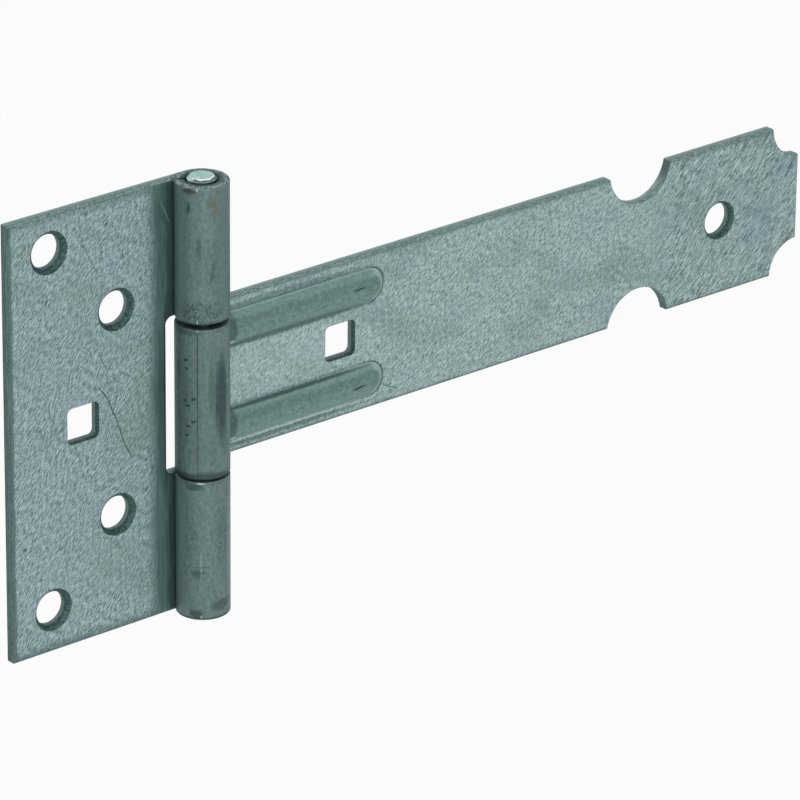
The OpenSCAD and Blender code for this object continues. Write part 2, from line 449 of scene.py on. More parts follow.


# The plate's two faces: mill-finished zinc, scratched and nicked in front, and rubbed smooth in a band beside
# the knuckles, where the rolling tool held the sheet. Painted shade of the barrel lies over that band, deepest
# next to the barrel, and painted shade lines the rounded-over edges and the slot's edge.
def plate_face():
    material, tree, surface = start_metal("galvanised_plate_face", METALLIC, roughness=0.5)
    place = surface["Object"]
    look, relief = galvanising(tree, place, surface["Normal"], 55, 0.0016, "#657D80", "#B3CBCE")
    along = add_node(tree, "ShaderNodeSeparateXYZ", {0: ragged(tree, place, 0.004, 0.0005)}, None)
    x, z = along["X"], along["Z"]
    wide_place = ragged(tree, place, 0.009, 0.004)
    look = marked(tree, look, wide_place, [
        ((0.0090, -SHEET, 0.0310), (0.0070, 0.001, 0.0170), 12, "#839A92", 0.3),
        ((0.0240, -SHEET, 0.0020), (0.0080, 0.001, 0.0300), 0, "#7E978B", 0.4),
        ((0.0170, -SHEET, -0.0370), (0.0130, 0.001, 0.0120), 0, "#869E96", 0.35),
    ])
    look = stain(tree, look, strokes(tree, place, 0.0014, 0.0003, 58, 0.58, 0.66, 0), "#CBDFDD", 0.35)
    look = stain(tree, look, strokes(tree, place, 0.0014, 0.0003, 58, 0.42, 0.34, 0), "#48625F", 0.35)
    # Painted shade along the plate's rounded-over top, bottom and left edges.
    look = stain(tree, look, zone(tree, z, plate_high.z - 0.0030, plate_high.z - 0.0006), "#5C7371", 0.45)
    look = stain(tree, look, zone(tree, z, plate_low.z + 0.0036, plate_low.z), "#4B6361", 0.75)
    look = stain(tree, look, zone(tree, x, plate_low.x + 0.0010, plate_low.x + 0.0005), "#57706E", 0.85)
    # Painted shade of the barrel over the rubbed band, deepest next to the barrel.
    wavering = add_node(tree, "ShaderNodeSeparateXYZ", {0: ragged(tree, place, 0.018, 0.0012)}, "X")
    border = pin_axis.x - SHADED_BAND_REACH
    rubbed = zone(tree, wavering, border - SHADED_BAND_FADE, border + SHADED_BAND_FADE, on_front(tree, place))
    streaks = strokes(tree, place, 0.008, 0.0008, 90, 0.35, 0.65)
    smooth = add_node(
        tree, "ShaderNodeMix", {0: streaks, 6: colour("#526C6A"), 7: colour("#627C7A")}, 2, data_type="RGBA"
    )
    shade = zone(tree, x, pin_axis.x - 0.0084, pin_axis.x - roll_radius)
    smooth = stain(tree, smooth, shade, "#20332F", 0.6)
    look = add_node(tree, "ShaderNodeMix", {0: rubbed, 6: look, 7: smooth}, 2, data_type="RGBA")
    relief = add_node(tree, "ShaderNodeMix", {0: rubbed, 2: relief, 3: 0.5}, data_type="FLOAT")
    rough_place = ragged(tree, place, 0.002, 0.0003)
    for strength, points in SCRATCHES:
        for (x1, z1), (x2, z2) in zip(points, points[1:]):
            length = hypot(x2 - x1, z2 - z1)
            slant = degrees(atan2(z2 - z1, x2 - x1))
            middle = ((x1 + x2) / 2, -SHEET, (z1 + z2) / 2)
            where = spot(tree, rough_place, middle, (length * 0.75, 0.001, 0.00024), slant)
            look = stain(tree, look, where, "#33494A", strength)
    look = marked(tree, look, rough_place, [
        ((0.0325, -SHEET, 0.0464), (0.0042, 0.001, 0.0009), -68, "#485A64", 0.5),
        ((0.0336, -SHEET, 0.0466), (0.0045, 0.001, 0.00018), -68, "#9DB2B4", 0.55),
        ((0.0327, -SHEET, 0.0), (0.0024, 0.001, 0.0260), 0, "#3C5553", 0.45),
        ((-0.0081, -SHEET, -0.0272), (0.0007, 0.001, 0.0005), 0, "#3E5354", 0.8),
        ((-0.0011, -SHEET, 0.0331), (0.0010, 0.001, 0.0004), 55, "#3E5354", 0.7),
        ((-0.0016, -SHEET, -0.0550), (0.0008, 0.001, 0.0004), 60, "#3E5354", 0.6),
        ((0.0098, -SHEET, 0.0442), (0.0009, 0.001, 0.0006), -45, "#3E5354", 0.5),
    ])
    # Painted shade: a near-black line along the slot's edge, beside the middle knuckle.
    slot_rim = (pin_axis.x - roll_radius - SLOT_SIDE, -SHEET, 0)
    look = marked(tree, look, place, [(slot_rim, (0.0008, 0.001, 0.030), 0, "#0C1614", 0.9)])
    return finish_metal(material, look, relief, depth=0.00007)


# Where the tools have rolled or pressed the sheet its galvanising is rubbed smooth and dark, with faint
# streaks along the stroke and clouds of a dull grey.
def rubbed_zinc(tree, place, slant, dark, light):
    """The look and the relief of rubbed galvanising, with its streaks at a slant, in two tones."""
    streaks = strokes(tree, place, 0.0050, 0.0012, slant, 0.32, 0.68, 2, 0.6)
    clouds = strokes(tree, place, 0.0013, 0.0009, slant, 0.32, 0.68, 5)
    relief = add_node(tree, "ShaderNodeMix", {0: 0.72, 2: streaks, 3: clouds}, data_type="FLOAT")
    look = add_node(
        tree, "ShaderNodeMix", {0: relief, 6: colour(dark), 7: colour(light)}, 2, data_type="RGBA"
    )
    look = stain(tree, look, strokes(tree, place, 0.009, 0.004, slant, 0.5, 0.7, 3), "#6E7F86", 0.25)
    crackle = strokes(tree, place, 0.0010, 0.0005, slant, 0.60, 0.72, 3)
    return stain(tree, look, crackle, "#435A58", 0.25), relief


# The knuckles' outsides: rubbed zinc, finely wrinkled where the bend has stretched it, with the scrapes, dark
# spots and small rust stain that the rolling tools and the weather left, painted shade at their ends by the gaps,
# a painted highlight where they face upwards, and painted light and shade among their lines and marks.
def rolled_face(name, middle, half, inwards, wrinkled, lines, marks):
    """A leaf's knuckles, with painted shade at a height of half above and below a middle, where they meet the
    gaps, on the side that inwards tells, and with their wrinkled places, sharp lines and soft marks as they lie
    when unrolled."""
    material, tree, surface = start_metal(name, METALLIC, roughness=0.45)
    sheet = unrolled(tree, surface["Object"])
    look, relief = rubbed_zinc(tree, sheet, 90, "#607674", "#778D8B")
    wrinkles = strokes(tree, sheet, 0.0010, 0.0004, 60, 0.42, 0.58, 2, 0.8)
    rough_sheet = ragged(tree, sheet, 0.0018, 0.0006)
    for centre, reach, tone, strength in wrinkled:
        look = stain(tree, look, spot(tree, rough_sheet, centre, reach, within=wrinkles), tone, strength)
    height = add_node(tree, "ShaderNodeSeparateXYZ", {0: rough_sheet}, "Z")
    above = add_node(tree, "ShaderNodeMath", {0: height, 1: middle}, operation="SUBTRACT")
    off_middle = add_node(tree, "ShaderNodeMath", {0: above}, operation="ABSOLUTE")
    # Painted shade at the knuckles' ends, next to the gaps between them.
    look = stain(tree, look, zone(tree, off_middle, half + inwards * 0.0012, half), "#33413F", 0.5)
    look = marked(tree, look, rough_sheet, marks)
    look = marked(tree, look, sheet, lines)
    # Painted highlight on the parts of the knuckles that face upwards.
    upwards = add_node(tree, "ShaderNodeSeparateXYZ", {0: surface["Normal"]}, "Z")
    look = stain(tree, look, zone(tree, upwards, 0.15, 0.5), "#A3BCB9", 0.25)
    return finish_metal(material, look, relief, depth=0.00004)


# The sheared edges: steel that the shear has rubbed in front and torn behind, under thin zinc. They are dull
# and dark, but crumbly and painted paler on top as painted light, darker again in a ring round the pin, with a
# painted shadow round the bore, and painted black between the knuckles as their shade.
def cut_face():
    material, tree, surface = start_metal("galvanised_cut_edge", METALLIC, roughness=0.5)
    place = surface["Object"]
    drag = strokes(tree, place, 0.0007, 0.0007, 0, 0.36, 0.64)
    along = strokes(tree, place, 0.0060, 0.0006, 90, 0.36, 0.64)
    relief = add_node(tree, "ShaderNodeMix", {0: 0.6, 2: drag, 3: along}, data_type="FLOAT")
    look = add_node(
        tree, "ShaderNodeMix", {0: relief, 6: colour("#546D6B"), 7: colour("#77918F")}, 2, data_type="RGBA"
    )
    depth = add_node(tree, "ShaderNodeSeparateXYZ", {0: place}, "Y")
    look = stain(tree, look, zone(tree, depth, -SHEET * 0.6, -SHEET * 0.4), "#4E6563", 0.35)
    # Where the cut faces face upwards they are crumbly, and painted paler there as painted light.
    grain = strokes(tree, place, 0.0014, 0.0004, 20, 0.36, 0.64, 2)
    crumbly_lit_top = add_node(
        tree, "ShaderNodeMix", {0: grain, 6: colour("#76918E"), 7: colour("#A1BBB8")}, 2, data_type="RGBA"
    )
    pits = strokes(tree, place, 0.0012, 0.0005, 20, 0.52, 0.62, 2)
    crumbly_lit_top = stain(tree, crumbly_lit_top, pits, "#4E6664", 0.45)
    torn = zone(tree, depth, -SHEET * 0.7, -SHEET * 0.2)
    crumbly_lit_top = stain(tree, crumbly_lit_top, torn, "#B5CDCA", 0.6)
    upwards = add_node(tree, "ShaderNodeSeparateXYZ", {0: surface["Normal"]}, "Z")
    look = add_node(
        tree, "ShaderNodeMix", {0: zone(tree, upwards, 0.4, 0.8), 6: look, 7: crumbly_lit_top}, 2, data_type="RGBA"
    )
    pin_top = (pin_axis.x, pin_axis.y, plate_high.z)
    rough_place = ragged(tree, place, 0.0012, 0.0004)
    away = add_node(tree, "ShaderNodeVectorMath", {0: rough_place, 1: pin_top}, "Value", operation="DISTANCE")
    ring = zone(tree, away, 0.0075, 0.0068)
    look = stain(tree, look, ring, "#425856", 0.75)
    crumbs = strokes(tree, place, 0.0010, 0.0007, 30, 0.42, 0.58, 3)
    crumbs = zone(tree, away, 0.0075, 0.0068, zone(tree, away, 0.0045, 0.0058, crumbs))
    look = stain(tree, look, crumbs, "#BDD4D1", 0.75)
    # Painted shadow round the bore, where the pin meets the top knuckle.
    look = stain(tree, look, zone(tree, away, 0.0046, 0.0039), "#16231F", 0.85)
    # Painted shade: the end faces are painted black in the gaps between the knuckles.
    between = spot(tree, place, (pin_axis.x, pin_axis.y, 0), (0.012, 0.012, 0.045))
    look = stain(tree, look, between, "#070B0A", 1)
    return finish_metal(material, look, relief, depth=0.00003)


# The holes' walls: dull from the punch, and painted dark as the shade inside the holes, with a brighter torn
# band towards the back.
def punched_face():
    material, tree, surface = start_metal("galvanised_hole_wall", METALLIC, roughness=0.55)
    place = surface["Object"]
    relief = strokes(tree, place, 0.0009, 0.0005, 0, 0.36, 0.64)
    look = add_node(
        tree, "ShaderNodeMix", {0: relief, 6: colour("#38524F"), 7: colour("#56706D")}, 2, data_type="RGBA"
    )
    depth = add_node(tree, "ShaderNodeSeparateXYZ", {0: ragged(tree, place, 0.0015, 0.0003)}, "Y")
    torn = zone(tree, depth, -SHEET * 0.60, -SHEET * 0.35, zone(tree, depth, 0, -SHEET * 0.15))
    look = stain(tree, look, torn, "#9AB2AF", 0.5)
    return finish_metal(material, look, relief, depth=0.00003)


# Places on the rolled zinc: how far round from the front, 0, and how high; half sizes; tone and strength.
# Lines and marks have a slant in degrees before their tone.
PLATE_WRINKLES = [
    ((-0.0042, 0, 0.0230), (0.0075, 1, 0.0038), "#344A48", 0.75),
    ((-0.0030, 0, 0.0345), (0.0032, 1, 0.0090), "#435A58", 0.3),
    ((0.0010, 0, -0.0345), (0.0026, 1, 0.0110), "#3F5654", 0.6),
    ((-0.0070, 0, -0.0350), (0.0016, 1, 0.0090), "#435A58", 0.4),
]
# Among these lines, the dark ones along the knuckles' top and bottom ends are painted shade, and the short pale
# ticks at their ends are painted highlights.
PLATE_ROLL_LINES = [
    ((-0.0046, 0, 0.0541), (0.0300, 1, 0.00030), 0, "#34494A", 0.55),
    ((-0.0054, 0, 0.0540), (0.00025, 1, 0.0009), 0, "#DCE9E7", 0.8),
    ((-0.0055, 0, 0.0207), (0.00022, 1, 0.0008), 0, "#C5D6D4", 0.75),
    ((-0.0049, 0, -0.0203), (0.0013, 1, 0.00026), 0, "#CFE0DE", 0.8),
    ((-0.0048, 0, -0.0419), (0.00018, 1, 0.0052), 0, "#A9C0BE", 0.55),
    ((-0.0047, 0, -0.0420), (0.0030, 1, 0.0003), 0, "#3A4E4C", 0.4),
    ((-0.0050, 0, -0.0434), (0.0026, 1, 0.0004), 0, "#3A4E4C", 0.5),
    ((-0.0046, 0, -0.0556), (0.0300, 1, 0.0007), 0, "#2B3B39", 0.7),
    ((-0.0048, 0, -0.0549), (0.00025, 1, 0.0006), 0, "#C5D6D4", 0.5),
]
# Among these marks, the two pale bands down the knuckles' sides towards the plate are painted light, and the pale
# band down the lower knuckle's right side is a painted highlight.
PLATE_ROLL_MARKS = [
    ((-0.0120, 0, 0.0375), (0.0038, 1, 0.0400), 0, "#8DA8A5", 0.55),
    ((-0.0120, 0, -0.0375), (0.0038, 1, 0.0400), 0, "#8DA8A5", 0.55),
    ((-0.0076, 0, 0.0532), (0.0026, 1, 0.0008), 0, "#454239", 0.8),
    ((-0.0013, 0, 0.0496), (0.0012, 1, 0.0036), 4, "#6F6C55", 0.5),
    ((-0.0010, 0, 0.0484), (0.0007, 1, 0.0022), 0, "#856E4B", 0.4),
    ((-0.0027, 0, 0.0502), (0.0010, 1, 0.0022), 0, "#58614E", 0.4),
    ((-0.0077, 0, 0.0490), (0.0006, 1, 0.0020), 8, "#354A48", 0.8),
    ((-0.0050, 0, 0.0394), (0.0007, 1, 0.0036), 4, "#405755", 0.6),
    ((-0.0018, 0, 0.0331), (0.0008, 1, 0.0038), -8, "#405755", 0.5),
    ((0.0012, 0, 0.0380), (0.0032, 1, 0.0240), 0, "#56706D", 0.35),
    ((0.0046, 0, -0.0370), (0.0026, 1, 0.0220), 0, "#8FAAA7", 0.45),
    ((-0.0058, 0, -0.0438), (0.0015, 1, 0.0018), 0, "#3F5452", 0.6),
    ((-0.0063, 0, -0.0214), (0.0030, 1, 0.0013), 0, "#3A4D4B", 0.7),
    ((-0.0061, 0, -0.0541), (0.0024, 1, 0.0015), 0, "#394C4A", 0.75),
    ((0.0004, 0, -0.0522), (0.0040, 1, 0.0018), 8, "#3F534F", 0.65),
]
plate_zinc = plate_face()
plate_roll_zinc = rolled_face(
    "galvanised_plate_knuckle", 0, SLOT_HALF, 1, PLATE_WRINKLES, PLATE_ROLL_LINES, PLATE_ROLL_MARKS
)
edge_zinc = cut_face()
hole_zinc = punched_face()

# The blank of the plate, drawn round from the bottom of the bottom knuckle
left, right = plate_low.x, pin_axis.x
top, bottom = plate_high.z, plate_low.z
slot = right - roll_radius - SLOT_SIDE
plate = bmesh.new()
corner = start_at(plate, right, bottom)
corner = line_to(plate, corner, right, -SLOT_HALF)
corner = line_to(plate, corner, slot + SLOT_CORNER, -SLOT_HALF)
corner = arc_round(plate, corner, slot + SLOT_CORNER, -SLOT_HALF + SLOT_CORNER, -90)
corner = line_to(plate, corner, slot, SLOT_HALF - SLOT_CORNER)
corner = arc_round(plate, corner, slot + SLOT_CORNER, SLOT_HALF - SLOT_CORNER, -90)
corner = line_to(plate, corner, right, SLOT_HALF)
corner = line_to(plate, corner, right, top)
corner = line_to(plate, corner, left, top)
corner = line_to(plate, corner, left, bottom)
corner = line_to(plate, corner, right, bottom)
outline = spots(plate)
plate_holes = [
    (mounts[name]["pos_m"][0], side * mounts[name]["dims"]["spacing_y_mm"] / 2000)
    for name in ("outer_screw_holes", "inner_screw_holes")
    for side in (-1, 1)
]
for x, z in plate_holes:
    round_hole(plate, x, z, PLATE_MOUTH)
bolt_hole = mounts["plate_square_hole"]["pos_m"]
square_hole(plate, bolt_hole[0], bolt_hole[2])
fill_outline(plate)
thicken(plate, outline)
for x, z in plate_holes:
    sink_hole(plate, x, z, PLATE_MOUTH, screw_radius)
roll_up(plate, SLOT_HALF, top, 1)
roll_up(plate, bottom, -SLOT_HALF, 1)
soften_edges(plate, outline, CRISP_SHARE)
finished_piece(
    plate, "plate", "plate_leaf", "plate",
    [plate_zinc, plate_roll_zinc, edge_zinc, hole_zinc]
)

# Strap leaf: a second blank of the same sheet. Two stiffening beads are pressed out of it from behind, its
# sides are notched and its tip has hollow corners. Its narrower neck is rolled into the middle knuckle.
KNUCKLE_LOW = -0.0195
KNUCKLE_HIGH = 0.0188
SHOULDER = 0.0009
NOTCH_INSET = 0.0532
NOTCH_RADIUS = 0.010
NOTCH_DEPTH = 0.0085
TIP_CORNER = 0.0086
STRAP_MOUTH = 0.005
NOTCH_SHARE = 0.5
BEAD_HALF = 0.0043
BEAD_HEIGHT = 0.0018
BEAD_OFFSET = 0.0122
BEAD_START = 0.0074
BEAD_END = 0.0575
BEAD_STEPS = 10
BEAD_END_STEPS = 32
NOTCH_STEPS = 22
TIP_STEPS = 11

strap_low, strap_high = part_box("strap_leaf")
tip = strap_high.x
strap_top, strap_bottom = strap_high.z, strap_low.z
strap_middle = (strap_top + strap_bottom) / 2


def bead_outline(bm, z):
    """Draws a bead's outline on the front face: two straight sides and two round ends."""
    start = pin_axis.x + BEAD_START + BEAD_HALF
    end = pin_axis.x + BEAD_END - BEAD_HALF
    corner = start_at(bm, start, z - BEAD_HALF)
    corner = line_to(bm, corner, end, z - BEAD_HALF)
    corner = arc_round(bm, corner, end, z, 180, BEAD_END_STEPS)
    corner = line_to(bm, corner, start, z + BEAD_HALF)
    arc_round(bm, corner, start, z, 180, BEAD_END_STEPS)


def fill_bead(bm, z):
    """Closes a bead's outline with one face, so that the bead can be pressed out of it."""
    rim = [
        edge for edge in bm.edges
        if edge.is_boundary
        and all(abs(vert.co.z - z) < BEAD_HALF + WELD for vert in edge.verts)
        and all(vert.co.x < pin_axis.x + BEAD_END + WELD for vert in edge.verts)
        and all(vert.co.x > pin_axis.x + BEAD_START - WELD for vert in edge.verts)
    ]
    bmesh.ops.contextual_create(bm, geom=rim)


def press_bead(bm, z):
    """Presses a bead out of the front face and its groove into the back, both with a round section."""
    arch = (BEAD_HALF ** 2 + BEAD_HEIGHT ** 2) / (2 * BEAD_HEIGHT)
    centre = arch - BEAD_HEIGHT
    groove = sqrt((arch - SHEET) ** 2 - (centre - SHEET) ** 2)
    for y, radius, drop, half, outwards in (
        (-SHEET, arch, centre, BEAD_HALF, 1), (0, arch - SHEET, centre - SHEET, groove, -1)
    ):
        bead_faces = [
            face for face in bm.faces
            if len(face.verts) > BEAD_END_STEPS and abs(face.calc_center_median().y - y) < WELD
        ]
        face = min(bead_faces, key=lambda face: abs(face.calc_center_median().z - z))
        if half < BEAD_HALF:
            bmesh.ops.inset_individual(
                bm, faces=[face], thickness=BEAD_HALF - half, depth=0, use_even_offset=True
            )
        rim_angle = asin(half / radius)
        reached, height = half, 0
        before = set(bm.faces)
        for step in range(1, BEAD_STEPS):
            angle = rim_angle * (1 - step / BEAD_STEPS)
            next_reached, next_height = radius * sin(angle), radius * cos(angle) - drop
            bmesh.ops.inset_individual(
                bm, faces=[face], thickness=reached - next_reached,
                depth=outwards * (next_height - height), use_even_offset=True
            )
            reached, height = next_reached, next_height
        for pressed in [face, *(set(bm.faces) - before)]:
            pressed.material_index = PRESSED


# The blank of the strap, drawn round from the bottom of its knuckle
strap = bmesh.new()
shoulder = pin_axis.x + roll_radius + SHOULDER
notch_x = tip - NOTCH_INSET
notch_lift = NOTCH_RADIUS - NOTCH_DEPTH
notch_half = sqrt(NOTCH_RADIUS ** 2 - notch_lift ** 2)
notch_turn = 180 - 2 * degrees(asin(notch_lift / NOTCH_RADIUS))
corner = start_at(strap, pin_axis.x, KNUCKLE_LOW)
corner = line_to(strap, corner, shoulder, KNUCKLE_LOW)
corner = line_to(strap, corner, shoulder, strap_bottom)
corner = line_to(strap, corner, notch_x - notch_half, strap_bottom)
corner = arc_round(strap, corner, notch_x, strap_bottom - notch_lift, -notch_turn, NOTCH_STEPS)
corner = line_to(strap, corner, tip - TIP_CORNER, strap_bottom)
corner = arc_round(strap, corner, tip, strap_bottom, -90, TIP_STEPS)
corner = line_to(strap, corner, tip, strap_top - TIP_CORNER)
corner = arc_round(strap, corner, tip, strap_top, -90, TIP_STEPS)
corner = line_to(strap, corner, notch_x + notch_half, strap_top)
corner = arc_round(strap, corner, notch_x, strap_top + notch_lift, -notch_turn, NOTCH_STEPS)
corner = line_to(strap, corner, shoulder, strap_top)
corner = line_to(strap, corner, shoulder, KNUCKLE_HIGH)
corner = line_to(strap, corner, pin_axis.x, KNUCKLE_HIGH)
corner = line_to(strap, corner, pin_axis.x, KNUCKLE_LOW)
outline = spots(strap)
tip_hole = mounts["strap_tip_hole"]["pos_m"]
square_place = mounts["strap_square_hole"]["pos_m"]
round_hole(strap, tip_hole[0], tip_hole[2], STRAP_MOUTH)
square_hole(strap, square_place[0], square_place[2])
for side in (-1, 1):
    bead_outline(strap, strap_middle + side * BEAD_OFFSET)
fill_outline(strap)
for side in (-1, 1):
    fill_bead(strap, strap_middle + side * BEAD_OFFSET)
thicken(strap, outline)
for side in (-1, 1):
    press_bead(strap, strap_middle + side * BEAD_OFFSET)
sink_hole(strap, tip_hole[0], tip_hole[2], STRAP_MOUTH, screw_radius)
roll_up(strap, KNUCKLE_LOW, KNUCKLE_HIGH, -1)
soften_edges(strap, outline, NOTCH_SHARE)


def bead_places(tree, place):
    """How far above the nearer bead's middle line a place lies, and how far away from that line."""
    along = add_node(tree, "ShaderNodeSeparateXYZ", {0: place}, None)
    lower_line = strap_middle - BEAD_OFFSET
    from_lower = add_node(tree, "ShaderNodeMath", {0: along["Z"], 1: lower_line}, operation="SUBTRACT")
    above = add_node(
        tree, "ShaderNodeMath", {0: from_lower, 1: BEAD_OFFSET, 2: -BEAD_OFFSET}, operation="WRAP"
    )
    middle = pin_axis.x + (BEAD_START + BEAD_END) / 2
    straight = (BEAD_END - BEAD_START) / 2 - BEAD_HALF
    sideways = add_node(tree, "ShaderNodeMath", {0: along["X"], 1: middle}, operation="SUBTRACT")
    off_middle = add_node(tree, "ShaderNodeMath", {0: sideways}, operation="ABSOLUTE")
    past_straight = add_node(tree, "ShaderNodeMath", {0: off_middle, 1: straight}, operation="SUBTRACT")
    past_end = add_node(tree, "ShaderNodeMath", {0: past_straight, 1: 0}, operation="MAXIMUM")
    across = add_node(tree, "ShaderNodeCombineXYZ", {"X": past_end, "Z": above})
    return above, add_node(tree, "ShaderNodeVectorMath", {0: across}, "Value", operation="LENGTH")


def round_far_end(tree, place, within=1):
    """1 round the beads' far ends, where they are turned, and 0 along their straight sides."""
    x = add_node(tree, "ShaderNodeSeparateXYZ", {0: place}, "X")
    end = pin_axis.x + BEAD_END
    return zone(tree, x, end - BEAD_HALF, end - BEAD_HALF / 2, within)


# The strap's two faces: paler mill-finished zinc than the plate's, with longer and stronger strokes at the
# tip, painted shade along the rounded-over edges and in the creases along the feet of the beads, and painted
# shadow, shade and highlight lines beside the beads.
def strap_face():
    material, tree, surface = start_metal("galvanised_strap_face", METALLIC, roughness=0.5)
    place = surface["Object"]
    look, relief = galvanising(tree, place, surface["Normal"], 51, 0.0014, "#718A89", "#BED6D5")
    tip_look, tip_relief = galvanising(tree, place, surface["Normal"], 42, 0.0024, "#5A7274", "#BCD4D3")
    cuts = strokes(tree, place, 0.0060, 0.00030, 52, 0.60, 0.68, 0)
    tip_look = stain(tree, tip_look, cuts, "#3F5658", 0.5)
    glints = strokes(tree, place, 0.0050, 0.00030, 52, 0.38, 0.30, 0)
    tip_look = stain(tree, tip_look, glints, "#DCECEA", 0.45)
    along = add_node(tree, "ShaderNodeSeparateXYZ", {0: ragged(tree, place, 0.004, 0.0005)}, None)
    at_tip = zone(tree, along["X"], tip - 0.054, tip - 0.042)
    look = add_node(tree, "ShaderNodeMix", {0: at_tip, 6: look, 7: tip_look}, 2, data_type="RGBA")
    relief = add_node(tree, "ShaderNodeMix", {0: at_tip, 2: relief, 3: tip_relief}, data_type="FLOAT")
    height = add_node(tree, "ShaderNodeMath", {0: along["Z"], 1: strap_middle}, operation="SUBTRACT")
    off_middle = add_node(tree, "ShaderNodeMath", {0: height}, operation="ABSOLUTE")
    half = strap_top - strap_middle
    # Painted shade along the strap's rounded-over top and bottom edges, deeper along the bottom one.
    look = stain(tree, look, zone(tree, off_middle, half - 0.0016, half - 0.0004), "#5C7371", 0.35)
    look = stain(tree, look, zone(tree, height, 0.0012 - half, 0.0002 - half), "#4B6361", 0.45)
    rough_place = ragged(tree, place, 0.0009, 0.0004)
    away = bead_places(tree, rough_place)[1]
    front = on_front(tree, place)
    # Painted shade in the crease round each bead's foot, deeper round the far ends.
    foot = zone(tree, away, BEAD_HALF + 0.0009, BEAD_HALF + 0.0002, front)
    look = stain(tree, look, foot, "#3C5452", 0.5)
    far_end = round_far_end(tree, place, front)
    groove = zone(tree, away, BEAD_HALF + 0.0007, BEAD_HALF + 0.0002, far_end)
    look = stain(tree, look, groove, "#2A403E", 0.65)
    # Painted shade just above the upper bead and just below the lower one, a painted shadow just below the upper
    # bead, and a painted highlight along the lower bead's lower edge.
    look = marked(tree, look, rough_place, [
        ((0.0700, -SHEET, 0.0), (0.0320, 0.001, 0.0095), 0, "#C6DCDA", 0.12),
        ((0.0690, -SHEET, 0.0175), (0.0330, 0.001, 0.0016), 0, "#4C6664", 0.55),
        ((0.0690, -SHEET, 0.0079), (0.0330, 0.001, 0.0011), 0, "#405856", 0.65),
        ((0.0690, -SHEET, -0.0177), (0.0330, 0.001, 0.0009), 0, "#4C6462", 0.7),
        ((0.0690, -SHEET, -0.0168), (0.0330, 0.001, 0.0005), 0, "#BED5D2", 0.55),
        ((0.1008, -SHEET, -0.0154), (0.0020, 0.001, 0.00024), -28, "#3A5050", 0.8),
        ((0.1029, -SHEET, -0.0164), (0.0017, 0.001, 0.00022), -24, "#3A5050", 0.6),
        ((0.2310, -SHEET, 0.0100), (0.0042, 0.001, 0.0045), 0, "#7488A0", 0.25),
        ((0.2220, -SHEET, -0.0040), (0.0080, 0.001, 0.0100), 0, "#8093A6", 0.30),
        ((0.2322, -SHEET, 0.0090), (0.0020, 0.001, 0.0008), 55, "#3E5258", 0.6),
        ((0.2308, -SHEET, 0.0070), (0.0015, 0.001, 0.0005), 55, "#3E5258", 0.5),
        ((0.2316, -SHEET, -0.0110), (0.0022, 0.001, 0.0007), 35, "#3E5258", 0.55),
    ])
    return finish_metal(material, look, relief, depth=0.00005)


# The beads: zinc that the press tool has rubbed smooth along them. Their sides are painted paler as painted
# light, with painted shade along a line just above the crest, a painted highlight along their rims and round
# their far ends, painted shade along their inner edges and at their near ends, and painted glints by the barrel.
def pressed_face():
    material, tree, surface = start_metal("galvanised_pressed_bead", METALLIC, roughness=0.55)
    place = surface["Object"]
    look, relief = rubbed_zinc(tree, place, 0, "#637D7A", "#7D9895")
    flecks = strokes(tree, place, 0.0012, 0.0004, 45, 0.50, 0.70, 1)
    look = stain(tree, look, flecks, "#9FB8B5", 0.35)
    rough_place = ragged(tree, place, 0.0012, 0.00025)
    above, away = bead_places(tree, rough_place)
    # Painted light and shade across each bead: paler sides, painted shade along a line just above the crest, and a
    # painted highlight along the rim.
    look = stain(tree, look, zone(tree, above, 0.0018, 0.0034), "#93B3AE", 0.35)
    crest_shade = zone(tree, above, -0.0004, 0.0012, zone(tree, above, 0.0030, 0.0018))
    look = stain(tree, look, crest_shade, "#4D6966", 0.3)
    look = stain(tree, look, zone(tree, above, -0.0008, -0.0030), "#94AEAB", 0.35)
    look = stain(tree, look, zone(tree, away, BEAD_HALF - 0.0005, BEAD_HALF - 0.0001), "#B8D0CD", 0.35)
    # Painted highlight round the beads' far ends.
    far_end_highlight = zone(tree, away, BEAD_HALF - 0.0017, BEAD_HALF - 0.0011, round_far_end(tree, place))
    look = stain(tree, look, far_end_highlight, "#BAD1CE", 0.65)
    near_end = pin_axis.x + BEAD_START + 0.0034
    # Painted shade along the beads' inner edges and at their near ends by the barrel, and painted glints near the
    # near ends' lower corners.
    look = marked(tree, look, rough_place, [
        ((0.0690, -0.0035, 0.0082), (0.0330, 0.003, 0.0009), 0, "#405856", 0.6),
        ((0.0690, -0.0035, -0.0081), (0.0330, 0.003, 0.0007), 0, "#2C4341", 0.75),
        ((0.0906, -0.0048, 0.0129), (0.0023, 0.002, 0.0003), 4, "#24343A", 0.9),
        ((0.0907, -0.0048, -0.0126), (0.0028, 0.002, 0.0004), 4, "#24343A", 0.9),
        ((0.0500, -0.0048, -0.0120), (0.0003, 0.002, 0.0007), 15, "#2E3F3F", 0.7),
        ((near_end, -0.004, BEAD_OFFSET), (0.0018, 0.004, 0.0065), 0, "#34494A", 0.6),
        ((near_end, -0.004, -BEAD_OFFSET), (0.0018, 0.004, 0.0065), 0, "#34494A", 0.6),
        ((0.0526, -0.0035, 0.0091), (0.0011, 0.002, 0.0008), 0, "#C8DAD8", 0.7),
        ((0.0530, -0.0035, -0.0160), (0.0013, 0.002, 0.0008), 0, "#C8DAD8", 0.7),
    ])
    return finish_metal(material, look, relief, depth=0.00003)


STRAP_WRINKLES = [
    ((0.0002, 0, 0.0010), (0.0026, 1, 0.0150), "#3F5654", 0.4),
    ((-0.0082, 0, 0.0), (0.0020, 1, 0.0120), "#3F5654", 0.35),
]
